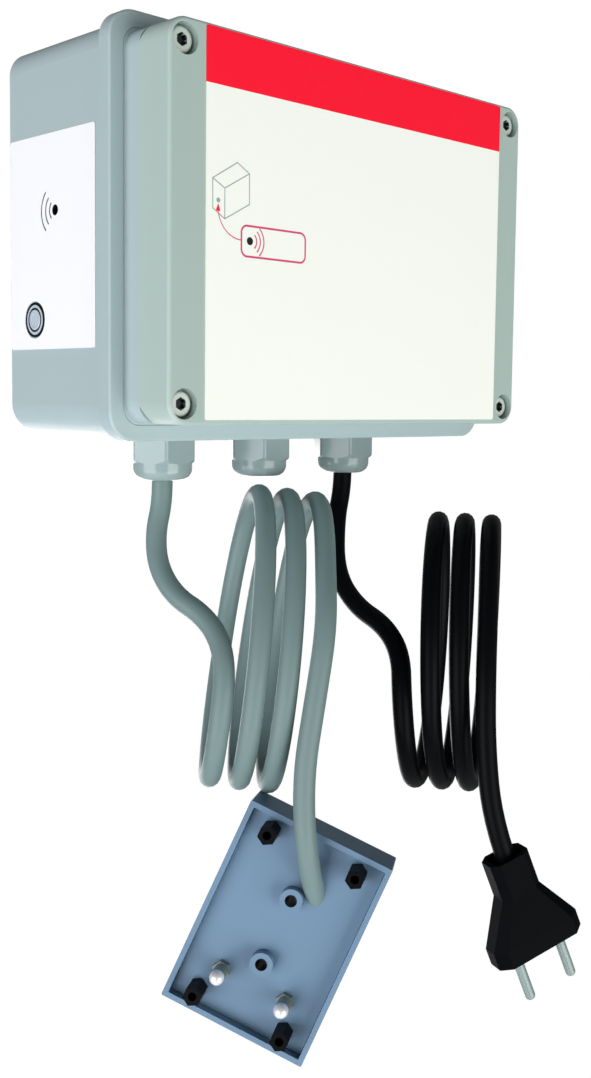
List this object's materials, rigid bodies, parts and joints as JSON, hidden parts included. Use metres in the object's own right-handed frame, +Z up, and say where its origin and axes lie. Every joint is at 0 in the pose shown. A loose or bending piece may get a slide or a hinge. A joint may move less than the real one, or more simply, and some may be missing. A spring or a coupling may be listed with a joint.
{
  "type": "flood detection module",
  "caption": "Wall-mounted control enclosure with a screwed lid, side button and cable glands, a floor sensor head on a coiled cable, and a coiled mains lead with a two-pin plug",
  "frame": {"origin": "Centre of the enclosure's back face, on the wall, which is also the centre of its four wall fixings", "axes": "+Z up, -Y out of the wall towards the reader, +X to the right as seen from the front"},
  "size_m": [0.2079, 0.1538, 0.373],
  "materials": {
    "enclosure": "fine satin grey moulded plastic",
    "lid": "fine satin grey moulded plastic",
    "seal": "matt black rubber",
    "screw": "bright stainless steel",
    "label": "printed polyester film with a red band",
    "side_label": "printed polyester film",
    "gland": "smooth light grey polyamide",
    "black_plastic": "smooth black plastic",
    "button": "smooth grey-blue plastic",
    "board": "green coated circuit board",
    "core": "varnished steel laminations",
    "winding": "taped copper winding on a moulded bobbin",
    "relay": "smooth blue plastic",
    "terminal": "green moulded plastic",
    "contact": "plated bright metal",
    "fuse_glass": "clear glass tube with metal caps",
    "sensor": "satin blue-grey plastic",
    "black_rubber": "satin black moulded rubber",
    "grey_cable": "satin grey cable sheath",
    "black_cable": "satin black cable sheath"
  },
  "bodies": {
    "module": {"rear_box": "enclosure", "front_frame": "enclosure", "lid": "lid", "lid_gasket": "seal", "lid_screws": "screw", "front_label": "label", "side_label": "side_label", "button_seal": "black_plastic", "button_bezel": "button", "button_nut": "black_plastic", "button_switch": "black_plastic", "alarm_buzzer": "black_plastic", "main_board": "board", "board_screws": "screw", "transformer_core": "core", "transformer_bobbin": "winding", "alarm_relay": "relay", "fuse_base": "black_plastic", "fuse_clips": "contact", "fuse": "fuse_glass", "sensor_terminal": "terminal", "relay_terminal": "terminal", "mains_terminal": "terminal", "capacitor": "black_plastic", "control_chip": "black_plastic", "sensor_housing": "sensor", "sensor_cover": "sensor", "spacer_feet": "black_plastic", "electrodes": "contact", "electrode_nuts": "contact", "sensor_board": "board", "plug_body": "black_rubber", "plug_pins": "contact", "sensor_cable_tail": "grey_cable", "sensor_cable_upper": "grey_cable", "sensor_cable_coil": "grey_cable", "sensor_cable_lower": "grey_cable", "mains_cable_tail": "black_cable", "mains_cable_upper": "black_cable", "mains_cable_coil": "black_cable", "mains_cable_lower": "black_cable", "sensor_gland_body": "gland", "sensor_gland_locknut": "gland", "sensor_gland_seal": "seal", "sensor_gland_dome_nut": "gland", "spare_gland_body": "gland", "spare_gland_locknut": "gland", "spare_gland_seal": "seal", "spare_gland_dome_nut": "gland", "mains_gland_body": "gland", "mains_gland_locknut": "gland", "mains_gland_seal": "seal", "mains_gland_dome_nut": "gland", "spare_gland_plug": "gland"},
    "button": {"button_cap": "button"}
  },
  "joints": [
    {"name": "acknowledge_button", "type": "slide", "parent": "module", "child": "button", "axis": [1, 0, 0], "range_m": [0, 0.0015], "stiffness_N_per_m": 900}
  ]
}
